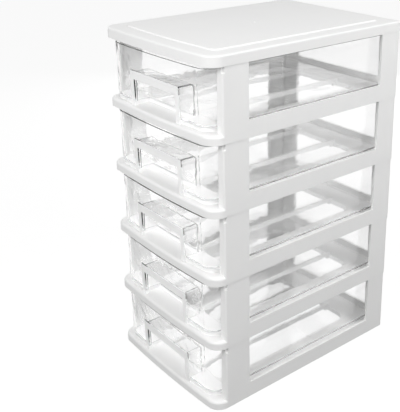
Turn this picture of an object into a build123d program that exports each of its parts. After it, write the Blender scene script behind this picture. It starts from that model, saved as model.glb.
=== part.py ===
from build123d import *

import os
from math import cos, radians, sin, tan

# Plastic drawer tower: five identical white tier frames stacked under a lid, with a
# clear drawer running in each tier.
#
# Millimetres.  +Z is up and the drawers open towards -Y.  The origin is the centre of
# the whole tower's footprint, on the surface that it stands on.

os.makedirs("parts", exist_ok=True)

# ---------------------------------------------------------------- driving dimensions

tiers = 5
tower_width = 186.0  # over a tier's skirt, at its foot
tower_depth = 246.0  # from the posts' front to the back, at the foot
tier_pitch = 74.0  # from one tier's foot to the next
draft = 0.57  # degrees: the white walls lean inwards as they rise

# The ledge that stands out in front of the posts, on each tier and on the lid
nose_reach = 13.0  # at the corners
nose_bow = 3.0  # more in the middle
nose_corner_radius = 15.0
back_corner_radius = 4.0
ledge_edge_radius = 3.0

# Skirt and deck: the hollow foot of a tier, with a ring-shaped floor on top
skirt_height = 9.4
skirt_wall = 2.2
deck_thickness = 2.2
deck_side_ledge = 32.0  # from the tower's side to the deck's opening
deck_front_ledge = 15.0  # from the posts' front to the opening
deck_back_ledge = 34.0
deck_opening_radius = 12.0
deck_flange_wall = 1.8  # a rim that stiffens the opening from below
deck_flange_depth = 3.0
runner_spacing = 57.0  # two rails cross the opening from front to back
runner_width = 2.6
runner_rise = 3.0  # above the deck
runner_seat = 3.0  # what each end laps onto the deck
runner_gusset = 4.0

# Posts and sills
post_wall = 2.8
post_corner_radius = 2.5
front_post_width = 31.5
back_post_width = 29.5
front_return = 8.0  # the posts' inward flange beside the drawer
back_return = 27.0
side_sill_height = 17.8  # above the tier's foot
back_sill_height = 18.5
notch_width = 1.2  # relief at the top outer corner of each front post
notch_height = 6.5

# Nesting: a tongue on the posts fills the skirt of what stands on them
tongue_height = 4.0
nest_gap = 0.25

# Lid
lid_height = 11.0
lid_thickness = 2.4
lid_edge_radius = 2.0
plateau_inset = 17.0  # border around the raised middle
plateau_rise = 1.2
plateau_radius = 8.0
plateau_slope = 50.0  # degrees from upright
gate_mark_radius = 1.3
gate_mark_depth = 0.5

# Drawer
drawer_draft = 1.5  # degrees: a drawer widens as it rises
drawer_wall = 1.6
drawer_floor = 1.7
drawer_front_radius = 14.0  # of its front corners, at the floor
drawer_back_radius = 9.0
drawer_bottom_radius = 3.5
front_foot_radius = 0.7  # of the skirt below its front
run_gap = 0.4  # from the rails to the drawer
mouth_gap = 1.0  # each side of its rim, between the posts
head_gap = 3.6  # from its rim to the tier above
rim_setback = 2.5  # of its bowed front's rim, behind the edge of the nose
back_gap = 3.0  # from its rim to the tier's back wall

# Handle: a pocket for the fingers in the drawer's front, open below, behind a raised frame
pocket_width = 82.4
pocket_height = 37.0  # of its roof, above the deck
pocket_depth = 21.5  # behind the frame's face
pocket_wall = 1.8
pocket_radius = 3.5
front_foot_gap = 0.9  # from the front's foot to the deck
frame_setback = 1.9  # of the frame's top, behind the middle of the nose
frame_border = 1.2  # around the pocket
frame_thickness = 4.6
frame_edge_radius = 0.6
grip_bar_height = 9.2
grip_leg_width = 6.0

# ------------------------------------------------------------------ derived values

half_width = tower_width / 2
nose_middle = nose_reach + nose_bow
front_y = nose_middle - (tower_depth + nose_middle) / 2  # the posts' front
back_y = front_y + tower_depth
stack_height = tiers * tier_pitch
reach = tower_depth + tower_width + stack_height  # longer than any cut has to be


def lean(height):
    """How far a white wall has moved inwards at a height above its foot."""
    return height * tan(radians(draft))


mouth_half = half_width - lean(tier_pitch) - front_return
drawer_base = skirt_height + runner_rise + run_gap
drawer_height = tier_pitch - head_gap - drawer_base
drawer_flare = drawer_height * tan(radians(drawer_draft))
rim_half = mouth_half - mouth_gap
rim_front = front_y - nose_reach + rim_setback  # at its corners
rim_back = back_y - lean(tier_pitch) - post_wall - back_gap


# ------------------------------------------------------------------------- outlines


def nose_plan(inset, front_radius, back_radius):
    """Footprint of a tier or the lid, with its bowed nose, moved inwards by inset."""
    half = half_width - inset
    corner_y = front_y - nose_reach + inset
    with BuildSketch() as plan:
        with BuildLine():
            ThreePointArc((-half, corner_y), (0, corner_y - nose_bow), (half, corner_y))
            Polyline(
                (half, corner_y),
                (half, back_y - inset),
                (-half, back_y - inset),
                (-half, corner_y),
            )
        make_face()
        fillet(plan.vertices().group_by(Axis.Y)[0], front_radius)
        fillet(plan.vertices().group_by(Axis.Y)[-1], back_radius)
    return plan.sketch


def skirt_plan(inset):
    """Footprint with the corners that the skirts have, moved inwards by inset."""
    return nose_plan(inset, nose_corner_radius - inset, back_corner_radius - inset)


def post_plan(inset, front_radius, back_radius):
    """Rectangle around the four posts, moved inwards by inset."""
    with BuildSketch() as plan:
        with Locations((0, (front_y + back_y) / 2)):
            Rectangle(tower_width - 2 * inset, tower_depth - 2 * inset)
        if front_radius > 0:
            fillet(plan.vertices().group_by(Axis.Y)[0], front_radius)
        fillet(plan.vertices().group_by(Axis.Y)[-1], back_radius)
    return plan.sketch


def deck_plan(margin):
    """The deck's opening, moved outwards by margin."""
    half = half_width - deck_side_ledge + margin
    low = front_y + deck_front_ledge - margin
    high = back_y - deck_back_ledge + margin
    with BuildSketch() as plan:
        with Locations((0, (low + high) / 2)):
            RectangleRounded(2 * half, high - low, deck_opening_radius + margin)
    return plan.sketch


def tub_plan(inset, height):
    """Outline of a drawer, bowed in front, at a height above its base, moved inwards by inset."""
    flare = height * tan(radians(drawer_draft))
    half = rim_half - drawer_flare + flare - inset
    low = rim_front + drawer_flare - flare + inset
    high = rim_back - drawer_flare + flare - inset
    with BuildSketch() as plan:
        with BuildLine():
            ThreePointArc((-half, low), (0, low - nose_bow), (half, low))
            Polyline((half, low), (half, high), (-half, high), (-half, low))
        make_face()
        fillet(plan.vertices().group_by(Axis.Y)[0], drawer_front_radius + flare - inset)
        fillet(plan.vertices().group_by(Axis.Y)[-1], drawer_back_radius + flare - inset)
    return plan.sketch


# --------------------------------------------------------------------- tier frame

with BuildPart() as tier_frame:
    # Ledge: the front of a footprint with a softened edge, ending inside the posts
    with BuildSketch():
        add(skirt_plan(0))
    extrude(amount=skirt_height, taper=draft)
    fillet(tier_frame.faces().sort_by(Axis.Z)[-1].outer_wire().edges(), ledge_edge_radius)
    split(bisect_by=Plane.XZ.offset(-front_y - nose_corner_radius), keep=Keep.TOP)

    # Block of the four posts, the sills and the foot, and the tongue that enters the tier above
    with BuildSketch():
        add(post_plan(0, post_corner_radius, back_corner_radius))
    extrude(amount=tier_pitch, taper=draft)
    tongue_inset = skirt_wall + nest_gap
    with BuildSketch(Plane.XY.offset(tier_pitch)):
        add(post_plan(tongue_inset, 0, back_corner_radius - tongue_inset))
    extrude(amount=tongue_height, taper=draft)

    # Room for the drawer, above the deck
    room_inset = lean(skirt_height) + post_wall
    with BuildSketch(Plane.XY.offset(skirt_height)):
        add(post_plan(room_inset, 0, back_corner_radius - post_wall))
    extrude(amount=tier_pitch, taper=draft, mode=Mode.SUBTRACT)

    # Mouth between the front posts
    with BuildSketch(Plane.XZ.offset(-front_y - front_post_width)):
        with Locations((0, skirt_height)):
            Rectangle(2 * mouth_half, reach, align=(Align.CENTER, Align.MIN))
    extrude(amount=2 * front_post_width, mode=Mode.SUBTRACT)

    # Windows in the sides and the back, open up to the tier above
    with BuildSketch(Plane.YZ):
        with Locations((front_y + front_post_width, side_sill_height)):
            Rectangle(
                tower_depth - front_post_width - back_post_width,
                reach,
                align=(Align.MIN, Align.MIN),
            )
    extrude(amount=reach, both=True, mode=Mode.SUBTRACT)
    with BuildSketch(Plane.XZ.offset(-back_y - post_wall)):
        with Locations((0, back_sill_height)):
            Rectangle(2 * (half_width - back_return), reach, align=(Align.CENTER, Align.MIN))
    extrude(amount=back_post_width, mode=Mode.SUBTRACT)

    # Hollow under the deck, the stiffening rim of its opening, and the opening
    with BuildSketch():
        add(skirt_plan(skirt_wall))
    extrude(amount=skirt_height - deck_thickness, taper=draft, mode=Mode.SUBTRACT)
    flange_foot = skirt_height - deck_thickness - deck_flange_depth
    with BuildSketch(Plane.XY.offset(flange_foot)):
        add(deck_plan(deck_flange_wall))
    extrude(amount=skirt_height - flange_foot)
    with BuildSketch(Plane.XY.offset(flange_foot)):
        add(deck_plan(0))
    extrude(amount=skirt_height, mode=Mode.SUBTRACT)

    # Two rails across the opening, lapped onto the deck, each with a gusset at its back end
    rail_back = back_y - deck_back_ledge + runner_seat
    rail_length = rail_back + runner_seat - front_y - deck_front_ledge
    with BuildSketch(Plane.XY.offset(skirt_height - deck_thickness)):
        with Locations((0, rail_back - rail_length / 2)):
            with GridLocations(runner_spacing, 0, 2, 1):
                Rectangle(runner_width, rail_length)
    extrude(amount=deck_thickness + runner_rise)
    with BuildSketch(Plane.XY.offset(flange_foot)):
        with Locations((0, rail_back - runner_seat - runner_gusset / 2)):
            with GridLocations(runner_spacing, 0, 2, 1):
                Rectangle(runner_width, runner_gusset)
    extrude(amount=skirt_height - flange_foot)

    # Reliefs at the top outer corners of the front posts
    notch_x = half_width - lean(tier_pitch) - notch_width / 2
    with BuildSketch(Plane.XY.offset(tier_pitch - notch_height)):
        with Locations((0, front_y)):
            with GridLocations(2 * notch_x, 0, 2, 1):
                Rectangle(2 * notch_width, 2 * (post_corner_radius + lean(tier_pitch)))
    extrude(amount=notch_height, mode=Mode.SUBTRACT)

# ---------------------------------------------------------------------------- lid

with BuildPart() as lid:
    with BuildSketch(Plane.XY.offset(stack_height)):
        add(skirt_plan(0))
    extrude(amount=lid_height, taper=draft)
    fillet(lid.faces().sort_by(Axis.Z)[-1].outer_wire().edges(), lid_edge_radius)
    with BuildSketch(Plane.XY.offset(stack_height)):
        add(skirt_plan(skirt_wall))
    extrude(amount=lid_height - lid_thickness, taper=draft, mode=Mode.SUBTRACT)

    # Raised middle with a sloping edge, and the mark left by the moulding gate
    with BuildSketch(Plane.XY.offset(stack_height + lid_height)):
        add(nose_plan(plateau_inset, plateau_radius, plateau_radius))
    extrude(amount=plateau_rise, taper=plateau_slope)
    with BuildSketch(Plane.XY.offset(stack_height + lid_height + plateau_rise)):
        with Locations((0, (front_y - nose_reach + back_y) / 2)):
            Circle(gate_mark_radius)
    extrude(amount=-gate_mark_depth, mode=Mode.SUBTRACT)

# -------------------------------------------------------------------------- drawer

front_foot = skirt_height + front_foot_gap
frame_top = skirt_height + pocket_height + frame_border
frame_face_y = front_y - nose_middle + frame_setback
pocket_back = frame_face_y + pocket_depth
apron_back = pocket_back + pocket_wall  # the front and the pocket reach lower than the rest
slope = radians(drawer_draft)
frame_face = Plane(
    origin=(0, frame_face_y, frame_top), x_dir=(1, 0, 0), z_dir=(0, -cos(slope), -sin(slope))
)
face_height = (frame_top - front_foot) / cos(slope)


def pocket_block(inset):
    """Form of the finger pocket, moved inwards by inset, from below the drawer to its roof."""
    with BuildPart() as block:
        with BuildSketch(Plane.XY.offset(front_foot - inset)):
            with Locations((0, pocket_back + pocket_wall - inset)):
                Rectangle(
                    pocket_width - 2 * inset, pocket_depth, align=(Align.CENTER, Align.MAX)
                )
        extrude(amount=pocket_height - front_foot_gap)
        roof = block.faces().sort_by(Axis.Z)[-1]
        rear_edges = block.edges().filter_by(Axis.Z).group_by(Axis.Y)[-1]
        fillet(roof.edges().sort_by(Axis.Y)[1:] + rear_edges, pocket_radius - inset)
    return block.part


with BuildPart() as room:
    with BuildSketch(Plane.XY.offset(drawer_base + drawer_floor)):
        add(tub_plan(drawer_wall, drawer_floor))
    extrude(amount=drawer_height, taper=-drawer_draft)
    fillet(room.faces().sort_by(Axis.Z)[0].edges(), drawer_bottom_radius - drawer_wall)
    add(pocket_block(0), mode=Mode.SUBTRACT)

with BuildPart() as pocket:
    add(pocket_block(pocket_wall))
    with BuildSketch(Plane.XZ.offset(-frame_face_y - frame_thickness)):
        Rectangle(reach, reach)
    extrude(amount=pocket_depth, mode=Mode.SUBTRACT)

with BuildPart() as drawer:
    with BuildSketch(Plane.XY.offset(front_foot)):
        add(tub_plan(0, front_foot - drawer_base))
    extrude(amount=drawer_base + drawer_height - front_foot, taper=-drawer_draft)
    fillet(drawer.faces().sort_by(Axis.Z)[0].edges(), front_foot_radius)

    # Underside above the rails, inside a skirt that the front keeps
    with BuildSketch(Plane.XY.offset(front_foot)):
        with Locations((0, apron_back)):
            Rectangle(reach, reach, align=(Align.CENTER, Align.MIN))
    extrude(amount=drawer_base - front_foot, mode=Mode.SUBTRACT)
    base = drawer.faces().filter_by(Axis.Z).sort_by(Axis.Z)[1]
    fillet(base.edges().sort_by(Axis.Y)[1:], drawer_bottom_radius)
    with BuildSketch(Plane.XY.offset(front_foot)):
        add(tub_plan(drawer_wall, front_foot - drawer_base))
    extrude(amount=drawer_base - front_foot, taper=-drawer_draft, mode=Mode.SUBTRACT)
    add(pocket_block(0))

    # Raised frame: a grip bar on two legs
    with BuildSketch(frame_face):
        Rectangle(pocket_width + 2 * frame_border, face_height, align=(Align.CENTER, Align.MAX))
    extrude(amount=-frame_thickness)

    # Inside of the tub, and the finger pocket with its way in below the bar
    add(room.part, mode=Mode.SUBTRACT)
    add(pocket.part, mode=Mode.SUBTRACT)
    with BuildSketch(frame_face):
        with Locations((0, -grip_bar_height)):
            Rectangle(
                pocket_width + 2 * frame_border - 2 * grip_leg_width,
                face_height,
                align=(Align.CENTER, Align.MAX),
            )
    extrude(amount=-pocket_depth / 2, mode=Mode.SUBTRACT)
    face = drawer.faces().sort_by(Axis.Y)[0]
    fillet(face.edges().sort_by(Axis.Z)[2:], frame_edge_radius)

# --------------------------------------------------------------------- the assembly

lid.part.label = "lid"
export_step(lid.part, "parts/lid.step")

for tier in range(tiers):
    place = Location((0, 0, tier * tier_pitch))
    for kind, body in (("tier_frame", tier_frame), ("drawer", drawer)):
        piece = body.part.moved(place)
        piece.label = f"{kind}_{tier + 1}"
        export_step(piece, f"parts/{piece.label}.step")
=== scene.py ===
from math import radians, tan

import bpy
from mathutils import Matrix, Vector

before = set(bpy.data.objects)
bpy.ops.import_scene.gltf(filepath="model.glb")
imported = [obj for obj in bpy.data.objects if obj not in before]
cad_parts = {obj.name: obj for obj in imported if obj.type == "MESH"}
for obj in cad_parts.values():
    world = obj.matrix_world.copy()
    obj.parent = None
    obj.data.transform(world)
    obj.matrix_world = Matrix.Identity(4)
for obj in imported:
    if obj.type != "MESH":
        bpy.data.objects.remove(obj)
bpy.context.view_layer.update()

MM = 0.001
WHITE = (1, 1, 1, 1)

# Camera fitted to the photograph
PHOTO_WIDTH, PHOTO_HEIGHT = 400, 412
FOCAL_PX = 768.6  # focal length in the photograph's pixels
CENTRE_PX = (254.0, 150.0)  # where its axis meets the photograph
CAMERA_AT = (0.61954, -0.52310, 0.54019)
CAMERA_AZIMUTH = 49.784
CAMERA_ELEVATION = 20.480
SENSOR_MM = 36.0

PITCH = 74 * MM  # from tier to tier
# A drawer's grip frame: where its face is at its top edge, and how far that face leans
FRAME_FACE_Y = -129.1 * MM
FRAME_TOP = 47.6 * MM  # above the tier's foot, as every height in a drawer here
LEAN = tan(radians(1.5))
SKIN = 0.25 * MM  # frost goes this deep, and fades out over as much again
# The foot of a drawer's front and finger pocket: up to just above the tub's floor, and back to
# just behind the pocket
FOOT_TOP = 14.8 * MM
FOOT_BACK = -104 * MM
# Painted light: frosting the front's foot makes it show pale where clear plastic shows a dark line
FOOT_PAINTED_LIGHT = 0.6  # how frosted that foot is
# From the first place to the second, the front's strong ripple gives way to the tub's calmer one
RIPPLE_FADE = (-112 * MM, -100 * MM)

# Studio
SEEN_RAYS = ("Is Camera Ray", "Is Glossy Ray", "Is Transmission Ray")
CARD_WAY = (0.75, -0.62, 0.2)  # towards the grey card, a patch of the far background
CARD_EDGE = (0.6, 0.75)  # of the dot product with that way: white up to the first, grey past the second
CARD_GREY = 0.4
FLOOR_SIZE = 6.0
FLOOR_DROP = 0.5 * MM  # below the tower's foot


def linear(hex_colour):
    """sRGB hex to linear RGBA."""
    channels = [int(hex_colour[i:i + 2], 16) / 255 for i in (1, 3, 5)]
    return tuple(c / 12.92 if c <= 0.04045 else ((c + 0.055) / 1.055) ** 2.4 for c in channels) + (1.0,)


def add_node(tree, kind, settings=None, links=None, values=None):
    """Adds one node: its settings by attribute, its sockets' values, and links into it."""
    node = tree.nodes.new(kind)
    for key, value in (settings or {}).items():
        setattr(node, key, value)
    for key, value in (values or {}).items():
        node.inputs[key].default_value = value
    for key, source in (links or {}).items():
        tree.links.new(source, node.inputs[key])
    return node


def new_material(name):
    material = bpy.data.materials.new(name)
    material.use_nodes = True
    material.node_tree.nodes.clear()
    return material, material.node_tree


# ------------------------------------------------------------------------- materials


def white_polypropylene():
    """White injection-moulded polypropylene: waxy satin, softly uneven where the melt flowed."""
    material, tree = new_material("white_polypropylene")
    place = add_node(tree, "ShaderNodeTexCoord").outputs["Object"]
    # Spark-eroded tool skin, drawn at 0.9 mm because the real 0.1 mm grain can't show
    grain = add_node(tree, "ShaderNodeTexNoise", links={"Vector": place},
                     values={"Scale": 1 / (0.9 * MM), "Detail": 2.0, "Roughness": 0.6})
    # Flow marks, some 40 mm across
    flow = add_node(tree, "ShaderNodeTexNoise", links={"Vector": place},
                    values={"Scale": 1 / (40 * MM), "Detail": 3.0, "Roughness": 0.5})
    tone = add_node(tree, "ShaderNodeMix", {"data_type": "RGBA"}, {"Factor": flow.outputs["Fac"]},
                    {"A": linear("#EDEDED"), "B": linear("#F4F4F3")})
    satin = add_node(tree, "ShaderNodeMapRange", links={"Value": flow.outputs["Fac"]},
                     values={"From Min": 0.3, "From Max": 0.7, "To Min": 0.38, "To Max": 0.5})
    skin = add_node(tree, "ShaderNodeBump", links={"Height": grain.outputs["Fac"]},
                    values={"Strength": 0.12, "Distance": 0.1 * MM})
    shader = add_node(tree, "ShaderNodeBsdfPrincipled",
                      links={"Base Color": tone.outputs["Result"], "Roughness": satin.outputs["Result"],
                             "Normal": skin.outputs["Normal"]},
                      values={"IOR": 1.49})
    add_node(tree, "ShaderNodeOutputMaterial", links={"Surface": shader.outputs[0]})
    return material


def frost_and_painted_light_share(tree, place_y, place_z):
    """How frosted a drawer's skin is: 1 on the grip frame's face, whose white is partly a painted
    highlight, and less on the foot of its front, which is painted light.
    """
    # Height above the tier's foot, and the y that a point has once the frame's face is set plumb
    height = add_node(tree, "ShaderNodeMath", {"operation": "FLOORED_MODULO"}, {0: place_z}, {1: PITCH})
    below = add_node(tree, "ShaderNodeMath", {"operation": "SUBTRACT"},
                     {0: height.outputs[0]}, {1: FRAME_TOP})
    plumb = add_node(tree, "ShaderNodeMath", {"operation": "MULTIPLY_ADD"},
                     {0: below.outputs[0], 2: place_y}, {1: LEAN})
    face = add_node(tree, "ShaderNodeMapRange", links={"Value": plumb.outputs[0]}, values={
        "From Min": FRAME_FACE_Y + SKIN, "From Max": FRAME_FACE_Y + 2 * SKIN, "To Min": 1.0, "To Max": 0.0})
    # Painted light on the foot of the front, which reaches lower than the tub's floor: it is frosted so
    # that it shows pale instead of the dark line that clear plastic shows there
    foot = add_node(tree, "ShaderNodeMapRange", links={"Value": height.outputs[0]}, values={
        "From Min": FOOT_TOP, "From Max": FOOT_TOP + SKIN, "To Min": FOOT_PAINTED_LIGHT, "To Max": 0.0})
    near_front = add_node(tree, "ShaderNodeMath", {"operation": "LESS_THAN"}, {0: place_y}, {1: FOOT_BACK})
    foot_painted_light = add_node(tree, "ShaderNodeMath", {"operation": "MULTIPLY"},
                      {0: foot.outputs["Result"], 1: near_front.outputs[0]})
    both = add_node(tree, "ShaderNodeMath", {"operation": "MAXIMUM"},
                    {0: face.outputs["Result"], 1: foot_painted_light.outputs[0]})
    return both.outputs[0]


def clear_polystyrene():
    """Clear injection-moulded polystyrene: polished and a little wavy. Its grip frame's face is frosted
    white, which partly paints in the lamp's highlight there, and the foot of its front is frosted as
    painted light.
    """
    material, tree = new_material("clear_polystyrene")
    place = add_node(tree, "ShaderNodeTexCoord").outputs["Object"]
    _, place_y, place_z = add_node(tree, "ShaderNodeSeparateXYZ", links={"Vector": place}).outputs
    # Flow and sink ripple in the thin walls, some 30 mm from crest to crest, strongest in the front
    ripple = add_node(tree, "ShaderNodeTexNoise", links={"Vector": place},
                      values={"Scale": 1 / (30 * MM), "Detail": 2.0, "Roughness": 0.5})
    strength = add_node(tree, "ShaderNodeMapRange", links={"Value": place_y}, values={
        "From Min": RIPPLE_FADE[0], "From Max": RIPPLE_FADE[1], "To Min": 0.9, "To Max": 0.25})
    wave = add_node(tree, "ShaderNodeBump",
                    links={"Height": ripple.outputs["Fac"], "Strength": strength.outputs["Result"]},
                    values={"Distance": 1.5 * MM})
    # Spark-eroded frost scatters the light, so that the grip frame shows white. That white partly stands in
    # for the lamp's reflection on the face as a painted highlight, and the frosted foot is painted light.
    frosting_and_painted_light = frost_and_painted_light_share(tree, place_y, place_z)
    rough = add_node(tree, "ShaderNodeMapRange", links={"Value": frosting_and_painted_light},
                     values={"To Min": 0.03, "To Max": 0.45})
    clear_share = add_node(tree, "ShaderNodeMapRange", links={"Value": frosting_and_painted_light},
                           values={"To Min": 1.0, "To Max": 0.15})
    shader = add_node(tree, "ShaderNodeBsdfPrincipled",
                      links={"Normal": wave.outputs["Normal"], "Roughness": rough.outputs["Result"],
                             "Transmission Weight": clear_share.outputs["Result"]},
                      values={"Base Color": WHITE, "IOR": 1.59})
    # Light reaches what stands behind the clear plastic
    through = add_node(tree, "ShaderNodeBsdfTransparent")
    path = add_node(tree, "ShaderNodeLightPath")
    mix = add_node(tree, "ShaderNodeMixShader", links={
        0: path.outputs["Is Shadow Ray"], 1: shader.outputs[0], 2: through.outputs[0]})
    add_node(tree, "ShaderNodeOutputMaterial", links={"Surface": mix.outputs[0]})
    return material


# ----------------------------------------------------------------------------- studio


def seen_ray(tree):
    """1 for a ray that shows the background: straight, in a reflection or through clear plastic."""
    path = add_node(tree, "ShaderNodeLightPath")
    total = path.outputs[SEEN_RAYS[0]]
    for ray in SEEN_RAYS[1:]:
        more = add_node(tree, "ShaderNodeMath", {"operation": "MAXIMUM"}, {0: total, 1: path.outputs[ray]})
        total = more.outputs[0]
    return total


def white_world(daylight):
    """Shows white, and lights the object with less. A grey card draws the clear plastic's edges."""
    world = bpy.data.worlds.new("studio")
    bpy.context.scene.world = world
    world.use_nodes = True
    tree = world.node_tree
    tree.nodes.clear()
    way = add_node(tree, "ShaderNodeTexCoord").outputs["Generated"]
    facing = add_node(tree, "ShaderNodeVectorMath", {"operation": "DOT_PRODUCT"}, {0: way}, {1: CARD_WAY})
    card = add_node(tree, "ShaderNodeMapRange", links={"Value": facing.outputs["Value"]}, values={
        "From Min": CARD_EDGE[0], "From Max": CARD_EDGE[1], "To Min": 1.0, "To Max": CARD_GREY})
    # The card shows in reflections and through the clear plastic, and never as the background
    straight = add_node(tree, "ShaderNodeLightPath").outputs["Is Camera Ray"]
    strength = add_node(tree, "ShaderNodeMath", {"operation": "MAXIMUM"},
                        {0: card.outputs["Result"], 1: straight})
    shown = add_node(tree, "ShaderNodeBackground", links={"Strength": strength.outputs[0]},
                     values={"Color": WHITE})
    lighting = add_node(tree, "ShaderNodeBackground", values={"Color": WHITE, "Strength": daylight})
    mix = add_node(tree, "ShaderNodeMixShader", links={
        0: seen_ray(tree), 1: lighting.outputs[0], 2: shown.outputs[0]})
    add_node(tree, "ShaderNodeOutputWorld", links={"Surface": mix.outputs[0]})


def pale_floor(glow):
    """Paper sweep that shows white: most of it glows, and a thin lit share keeps the tower's shadow."""
    material, tree = new_material("paper_sweep")
    lit = add_node(tree, "ShaderNodeBsdfDiffuse", values={"Color": linear("#7A7A7A")})
    white = add_node(tree, "ShaderNodeEmission", values={"Color": WHITE, "Strength": glow})
    both = add_node(tree, "ShaderNodeAddShader", links={0: lit.outputs[0], 1: white.outputs[0]})
    mix = add_node(tree, "ShaderNodeMixShader", links={
        0: seen_ray(tree), 1: lit.outputs[0], 2: both.outputs[0]})
    add_node(tree, "ShaderNodeOutputMaterial", links={"Surface": mix.outputs[0]})
    half = FLOOR_SIZE / 2
    corners = [(-half, -half, 0), (half, -half, 0), (half, half, 0), (-half, half, 0)]
    mesh = bpy.data.meshes.new("floor")
    mesh.from_pydata(corners, [], [(0, 1, 2, 3)])
    floor = bpy.data.objects.new("floor", mesh)
    floor.data.materials.append(material)
    floor.location.z = -FLOOR_DROP
    bpy.context.collection.objects.link(floor)


def softbox(name, at, aim, size, watts, shine=True):
    """A square soft lamp, whose own reflection is left out where shine is off."""
    data = bpy.data.lights.new(name, "AREA")
    data.shape = "SQUARE"
    data.size = size
    data.energy = watts
    lamp = bpy.data.objects.new(name, data)
    lamp.location = at
    lamp.rotation_euler = (Vector(at) - Vector(aim)).to_track_quat("Z", "Y").to_euler()
    lamp.visible_glossy = shine
    lamp.visible_transmission = shine
    bpy.context.collection.objects.link(lamp)


def photo_camera():
    """Pinhole camera in metres that frames the tower as the photograph does."""
    longer_side = max(PHOTO_WIDTH, PHOTO_HEIGHT)
    data = bpy.data.cameras.new("camera")
    data.sensor_width = SENSOR_MM
    data.lens = FOCAL_PX * SENSOR_MM / longer_side
    data.shift_x = (PHOTO_WIDTH / 2 - CENTRE_PX[0]) / longer_side
    data.shift_y = (CENTRE_PX[1] - PHOTO_HEIGHT / 2) / longer_side
    data.clip_start = 0.01
    data.clip_end = 100.0
    camera = bpy.data.objects.new("camera", data)
    camera.location = CAMERA_AT
    camera.rotation_euler = (radians(90 - CAMERA_ELEVATION), 0.0, radians(CAMERA_AZIMUTH))
    bpy.context.collection.objects.link(camera)
    bpy.context.scene.camera = camera


# --------------------------------------------------------------------------- the tower

bpy.context.scene.view_settings.view_transform = "Standard"
white_plastic = white_polypropylene()
clear_plastic = clear_polystyrene()
for name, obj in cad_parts.items():
    obj.data.materials.clear()
    obj.data.materials.append(clear_plastic if name.startswith("drawer") else white_plastic)

white_world(daylight=0.44)
pale_floor(glow=0.86)
softbox("key", at=(0.3, -0.9, 0.75), aim=(0, -0.12, 0.3), size=0.5, watts=6.2)
softbox("fill", at=(0.75, 0.25, 0.75), aim=(0.09, 0, 0.3), size=0.5, watts=3.9)
softbox("back", at=(-0.85, 0.85, 0.3), aim=(-0.05, 0.05, 0.2), size=0.7, watts=4, shine=False)
photo_camera()
